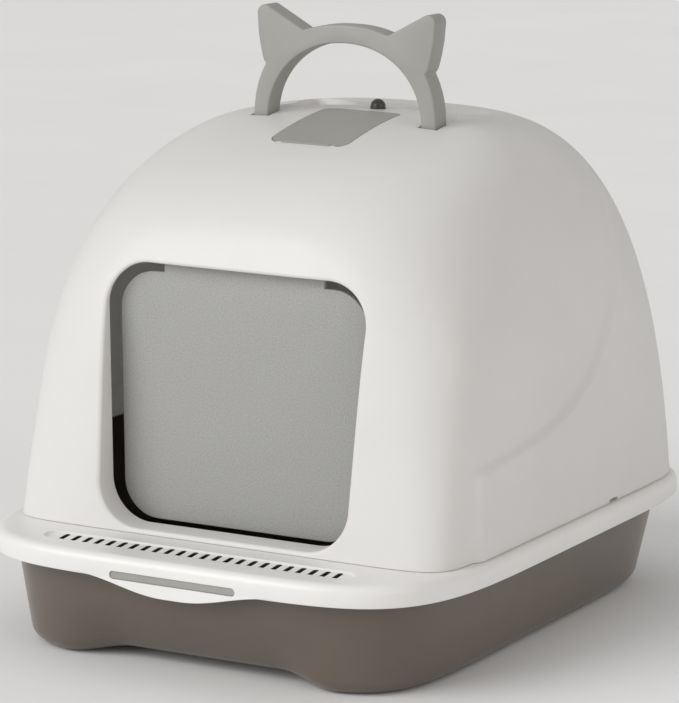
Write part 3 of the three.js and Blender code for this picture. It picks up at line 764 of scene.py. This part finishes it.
GUARD_THICKNESS = 2.4
guard_inset = rim_inner + GAP
guard = dome_solid("guard", guard_inset, guard_low[2] - 5)
combine(guard, [dome_solid("guard_inner", guard_inset + GUARD_THICKNESS, guard_low[2] - 8)])
combine(guard, [block("band", (-FAR, guard_low[1], guard_low[2]), (FAR, FAR, guard_high[2]))], "INTERSECT")
finished(guard, TRAY_PLASTIC, "collar", ["splash_guard"])

# ---- hood ----

# The contour of each side panel in Y and Z: a crease up the front, a round corner, a long rise towards the back
# and a turn forwards under the roof. Below and behind it the wall stands a little proud.
PANEL = [(-143.0, 40.0)]
PANEL += arc((-134.0, 149.0), 9.0, 180, 97, 6)
PANEL += [(-60.0, 165.0)]
PANEL += cubic((-60, 165), (40, 175), (112, 215), (129, 325))
PANEL += cubic((129, 325), (128, 372), (98, 384), (40, 400))
PANEL_STEP = 4.0
PANEL_SOFT = 3.6


def panel_distance(y, z):
    """How far each point is from the panel's contour, positive on the proud side."""
    path = np.array(PANEL, dtype=float)
    best = np.full(y.shape, 1e9)
    side = np.zeros(y.shape)
    for (ay, az), (by, bz) in zip(path[:-1], path[1:]):
        dy, dz = by - ay, bz - az
        t = np.clip(((y - ay) * dy + (z - az) * dz) / (dy * dy + dz * dz), 0, 1)
        gap_y, gap_z = y - ay - t * dy, z - az - t * dz
        distance = np.hypot(gap_y, gap_z)
        nearer = distance < best
        cross = gap_y * dz - gap_z * dy
        side = np.where(nearer, np.sign(cross), side)
        best = np.where(nearer, distance, best)
    return best * side


SEGMENTS = 480
levels = dome_levels(0, 120, 46)
rings = np.array([dome_ring(z, 0, SEGMENTS) for z in levels])
distance = panel_distance(rings[:, :, 1], rings[:, :, 2])
proud = smooth_step(distance, -PANEL_SOFT, PANEL_SOFT)
on_side = np.clip((np.abs(rings[:, :, 0]) / HOOD_HALF_WIDTH - 0.56) / 0.2, 0, 1)
# The sunk side comes back level with the dome 70 mm from the contour, and is shallower near the roof.
fade = np.clip((distance + 70) / 60, 0, 1)
height_fade = 1 - 0.75 * np.clip((rings[:, :, 2] - 225) / 90, 0, 1)
sunk = PANEL_STEP * (1 - proud) * on_side * fade * height_fade
rings[:, :, 0] -= np.sign(rings[:, :, 0]) * sunk
shell = loft("shell", rings, caps=(False, True))
solidify = shell.modifiers.new("wall", "SOLIDIFY")
solidify.thickness = WALL * MM
solidify.offset = -1
solidify.use_even_offset = False
apply_modifiers(shell)

sunken_dome = dome_solid("sunken_dome", 0.2, HOOD_BASE, 320, 80, 60)


def front_surface(x, z):
    """The hood's front at x and z."""
    ring = dome_ring(z, 0, 1440)
    front = ring[ring[:, 1] < HOOD_CENTRE_Y]
    order = np.argsort(front[:, 0])
    return float(np.interp(x, front[order, 0], front[order, 1]))


# The round edge of the entry.
LIP = 2.4
corners = np.array(door_outline(0.0, steps=22))
outline = []
for a, b in zip(corners, np.roll(corners, -1, axis=0)):
    count = max(1, int(np.linalg.norm(b - a) / 4))
    outline += [a + (b - a) * k / count for k in range(count)]
outline = np.array(outline)
tangent = np.roll(outline, -1, axis=0) - np.roll(outline, 1, axis=0)
outward = np.column_stack([tangent[:, 1], -tangent[:, 0]])
outward /= np.linalg.norm(outward, axis=1)[:, None]


def door_ring(grow, depth):
    """The entry's outline grown by grow.

    depth is how far behind the hood's face it lies, or None for the back of the jamb.
    """
    points = []
    for (x, z), (nx, nz) in zip(outline, outward):
        px, pz = x + nx * grow, z + nz * grow
        y = front_surface(px, max(pz, HOOD_BASE)) + (depth or 0)
        y = max(DOOR_INNER_Y, y + LIP + 0.4) if depth is None else y
        points.append((px, y, pz))
    return np.array(points)


jamb_rings = [door_ring(WALL, None), door_ring(WALL, 1.2)]
for i in range(10):
    turn = i / 9 * math.pi / 2
    jamb_rings.append(door_ring((LIP + 0.3) * (1 - math.sin(turn)), 0.04 + LIP * (1 - math.cos(turn))))
jamb_rings.append(door_ring(0, None))
jamb = loft("jamb", jamb_rings, around=True)

door_hole = prism("door_hole", outline + outward * (LIP - 0.05), 1, -FAR, rod_low[1] + 3)
combine(shell, [door_hole])
combine(shell, [jamb], "UNION")

boss = combine(channel(CHANNEL_MARGIN + WALL, CHANNEL_FLOOR - WALL), [sunken_dome], "INTERSECT")
combine(shell, [boss], "UNION")
channel_cut = channel(CHANNEL_MARGIN, CHANNEL_FLOOR)
COVER_GAP = 0.6
COVER_RADIUS = 11.0
BUTTON_RADIUS = 6.0
BUTTON_HOLE_RADIUS = 6.5
cover_outline = rounded_outline(cover_low[:2] - COVER_GAP, cover_high[:2] + COVER_GAP, COVER_RADIUS, 10)
cover_hole = prism("cover_hole", cover_outline, 2, CHANNEL_FLOOR - 2 * WALL, FAR)
button_y = (button_low[1] + button_high[1]) / 2
button_hole_profile = [(BUTTON_HOLE_RADIUS, button_low[2] + 4), (BUTTON_HOLE_RADIUS, FAR)]
button_hole = turned("button_hole", button_hole_profile, (0, button_y, 0), segments=64)
combine(shell, [channel_cut, cover_hole, button_hole])


def pin_bores(near, far):
    """A hole for each handle pin, between two distances from the middle."""
    bores = []
    for low, high in ((-far, -near), (near, far)):
        profile = [(PIN_BORE_RADIUS, low), (PIN_BORE_RADIUS, high)]
        bores.append(turned("bore", profile, (0, HANDLE_Y, PIVOT_Z), axis=0))
    return bores


PIN_BORE_RADIUS = 3.35
NOTCH_Y = 96.0
NOTCH_HALF_LENGTH = 8.0
NOTCH_HEIGHT = 2.6
notch_low = (NOTCH_Y - NOTCH_HALF_LENGTH, HOOD_BASE - 6)
notch_high = (NOTCH_Y + NOTCH_HALF_LENGTH, HOOD_BASE + NOTCH_HEIGHT)
cuts = pin_bores(47.0, 81.5)
for x in (-HOOD_HALF_WIDTH, HOOD_HALF_WIDTH):
    cuts.append(prism("notch", rounded_outline(notch_low, notch_high, 1.2, 5), 0, x - 6, x + 6))
combine(shell, [joined(cuts)])
finished(shell, HOOD_WHITE, "hood", ["hood_shell"], 30)

# ---- entry flap ----

FLAP_CLEARANCE = 4.5
FLAP_BOTTOM_CLEARANCE = 1.0
FLAP_DROP = 3.5
FLAP_THICKNESS = 3.0
TAB_HALF = 68.0
KNUCKLE_RADIUS = 3.4
ROD_BORE_RADIUS = 1.95
rod_y, rod_z = (rod_low[1] + rod_high[1]) / 2, (rod_low[2] + rod_high[2]) / 2
flap_front, flap_back = rod_y - FLAP_THICKNESS / 2, rod_y + FLAP_THICKNESS / 2
flap_outline = door_outline(-FLAP_CLEARANCE, FLAP_DROP, FLAP_CLEARANCE - FLAP_BOTTOM_CLEARANCE, 18)
flap = prism("flap", flap_outline, 1, flap_front, flap_back)
flap_top = DOOR_TOP - FLAP_DROP - FLAP_CLEARANCE
tab_outline = rounded_outline((-TAB_HALF, flap_top - 30), (TAB_HALF, rod_z), 1.0, 3)
tab = prism("tab", tab_outline, 1, flap_front + 0.01, flap_back - 0.01)
knuckle_profile = [(KNUCKLE_RADIUS, -TAB_HALF), (KNUCKLE_RADIUS, TAB_HALF)]
knuckle = turned("knuckle", knuckle_profile, (0, rod_y, rod_z), axis=0, segments=40)
combine(flap, [tab, knuckle], "UNION")
rod_bore_profile = [(ROD_BORE_RADIUS, -FAR), (ROD_BORE_RADIUS, FAR)]
combine(flap, [turned("rod_bore", rod_bore_profile, (0, rod_y, rod_z), axis=0, segments=32)])
bevelled(flap, 1.1, 4)
finished(flap, FROSTED, "flap", ["entry_flap"])
# Every flap face that doesn't face front or back gets the lighter edge plastic: a painted highlight on the flap's
# rim.
flap.data.materials.append(FROSTED_EDGE_PAINTED_HIGHLIGHT)
for face in flap.data.polygons:
    if abs(face.normal.y) < 0.985:
        face.material_index = 1

# ---- handle ----

upper = [(x, PIVOT_Z + z) for x, z in handle_outline(0)]
handle = prism("handle", upper, 1, handle_low[1], handle_high[1])
combine(handle, [block("below", (-FAR, -FAR, 0), (FAR, FAR, PIVOT_Z))])
bevelled(handle, 1.5, 4)
feet = []
for side in (-1, 1):
    low = handle_high[0] - HANDLE_BAR if side > 0 else handle_low[0]
    high = low + HANDLE_BAR
    profile = [(8.5, low), (9.6, low + 0.4), (10, low + 1.5), (10, high - 1.5), (9.6, high - 0.4), (8.5, high)]
    feet.append(turned("foot", profile, (0, HANDLE_Y, PIVOT_Z), axis=0, segments=64))
combine(handle, feet, "UNION")
combine(handle, [joined(pin_bores(40.0, 75.4))])
finished(handle, GREY, "handle", ["carry_handle"])

# ---- filter cover ----

cover = dome_solid("cover", 0.0, HOOD_BASE, 320, 20, 120)
cover_inner = dome_solid("cover_inner", 2.6, HOOD_BASE - 5, 320, 20, 90)
cover_outline = rounded_outline(cover_low[:2], cover_high[:2], COVER_RADIUS, 12)
combine(cover, [prism("cover_shape", cover_outline, 2, 300, FAR)], "INTERSECT")
combine(cover, [cover_inner])
hinge_y = (cover_pin_low[1] + cover_pin_high[1]) / 2
hinge_z = (cover_pin_low[2] + cover_pin_high[2]) / 2
barrel = turned("barrel", [(2.3, -20.0), (2.3, 20.0)], (0, hinge_y, hinge_z), axis=0, segments=32)
combine(cover, [barrel], "UNION")
combine(cover, [turned("pin_bore", [(1.35, -FAR), (1.35, FAR)], (0, hinge_y, hinge_z), axis=0, segments=24)])
finished(cover, GREY, "cover", ["filter_cover"])

# ---- latch button ----

STEM_RADIUS = 2.4
stem_top = button_low[2] + 11.5
dome_start = button_high[2] - BUTTON_RADIUS
button_profile = [(STEM_RADIUS, button_low[2]), (STEM_RADIUS, stem_top), (BUTTON_RADIUS, stem_top)]
button_profile.append((BUTTON_RADIUS, dome_start))
for i in range(1, 13):
    turn = i / 12 * math.pi / 2
    radius = max(BUTTON_RADIUS * math.cos(turn), 0.02)
    button_profile.append((radius, dome_start + BUTTON_RADIUS * math.sin(turn)))
button = turned("button", button_profile, (0, button_y, 0), segments=64)
finished(button, BUTTON_PLASTIC, "button", ["latch_button"])

# ---- filter basket and pad ----


def vent_slots(z0, z1):
    """Five slots across the basket's floor."""
    centre = (basket_low[1] + basket_high[1]) / 2
    cutters = []
    for i in range(5):
        y = centre + (i - 2) * 13.0
        cutters.append(prism("vent", rounded_outline((-20, y - 3), (20, y + 3), 2.8, 6), 2, z0, z1))
    return joined(cutters)


BASKET_WALL = 1.8
basket_outline = rounded_outline(basket_low[:2], basket_high[:2], 6, 10)
basket = prism("basket", basket_outline, 2, basket_low[2], basket_high[2])
inside_outline = rounded_outline(basket_low[:2] + BASKET_WALL, basket_high[:2] - BASKET_WALL, 5, 10)
inside = prism("inside", inside_outline, 2, basket_low[2] + BASKET_WALL, basket_high[2] + 5)
combine(basket, [inside, vent_slots(basket_low[2] - 5, basket_low[2] + 5)])
finished(basket, GREY, "hood", ["filter_basket"])

pad_rings = []
for i in range(9):
    z = pad_low[2] + (pad_high[2] - pad_low[2]) * i / 8
    tuck = 1.4 * (abs(i - 4) / 4) ** 4
    outline = np.array(rounded_outline(pad_low[:2] + tuck, pad_high[:2] - tuck, 4, 10))
    pad_rings.append(np.column_stack([outline, np.full(len(outline), z)]))
pad = loft("charcoal_pad", pad_rings)
finished(pad, FOAM, "hood", ["charcoal_filter"])

# ---- CAD nodes that show as they are ----

moulded = ["filter_well", "latch_guide", "flap_bearing_left", "flap_bearing_right"]
moulded += ["handle_bearing_left", "handle_bearing_right"]
drawn = ["flap_rod", "cover_pin", "latch_spring", "handle_pin_left", "handle_pin_right"]
for names, material in ((moulded, INNER), (drawn, STEEL)):
    for name in names:
        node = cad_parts[name]
        node.data.materials.clear()
        node.data.materials.append(material)

# ---- floor, light and camera ----

floor = bpy.data.objects.new("floor", bpy.data.meshes.new("floor"))
FLOOR_HALF_WIDTH = 8.0
floor_corners = [(x * FLOOR_HALF_WIDTH, y * FLOOR_HALF_WIDTH, 0) for x, y in ((-1, -1), (1, -1), (1, 1), (-1, 1))]
floor.data.from_pydata(floor_corners, [], [(0, 1, 2, 3)])
bpy.context.scene.collection.objects.link(floor)
floor_material = Nodes("pale_floor")
floor_shade = floor_material.ramp(floor_material.noise(3.0), (0.90, 0.90, 0.90), (0.93, 0.93, 0.93))
floor_material.link(floor_shade, floor_material.shader.inputs["Base Color"])
floor_material.set(Roughness=0.9)
floor.data.materials.append(floor_material.material)

scene = bpy.context.scene
scene.view_settings.view_transform = "Standard"
world = bpy.data.worlds.new("studio")
world.use_nodes = True
background = world.node_tree.nodes["Background"]
background.inputs["Color"].default_value = (1.0, 0.985, 0.965, 1)
background.inputs["Strength"].default_value = 0.5
scene.world = world


def sun(name, source, strength, spread, color):
    """Even light from a direction, spread over an angle in degrees so that its shadows are soft."""
    light = bpy.data.lights.new(name, "SUN")
    light.energy = strength
    light.angle = math.radians(spread)
    light.color = color
    obj = bpy.data.objects.new(name, light)
    obj.matrix_world = Vector(source).to_track_quat("Z", "Y").to_matrix().to_4x4()
    scene.collection.objects.link(obj)


sun("key", (-0.50, -0.75, 0.43), 1.72, 45, (1.0, 1.0, 1.0))
sun("fill", (0.92, -0.25, 0.30), 0.42, 35, (1.0, 0.95, 0.91))

AZIMUTH, ELEVATION, ROLL = math.radians(27.8), math.radians(10.7), math.radians(0.9)
DISTANCE = 2982.4 * MM
AIM = Vector((0, 0, 0.2))
AIM_UP = 6.73 * MM
AIM_LEFT = 2.43 * MM
across = math.cos(ELEVATION)
away = Vector((math.sin(AZIMUTH) * across, -math.cos(AZIMUTH) * across, math.sin(ELEVATION)))
level_right = Vector((math.cos(AZIMUTH), math.sin(AZIMUTH), 0))
level_up = away.cross(level_right)
right = math.cos(ROLL) * level_right + math.sin(ROLL) * level_up
up = away.cross(right)
aim = AIM + up * AIM_UP - right * AIM_LEFT
camera = bpy.data.objects.new("camera", bpy.data.cameras.new("camera"))
camera.data.lens = 195.0
camera.data.sensor_width = 36.0
camera.data.clip_end = 30.0
turn = Matrix((right, up, away)).transposed()
camera.matrix_world = Matrix.Translation(aim + away * DISTANCE) @ turn.to_4x4()
scene.collection.objects.link(camera)
scene.camera = camera
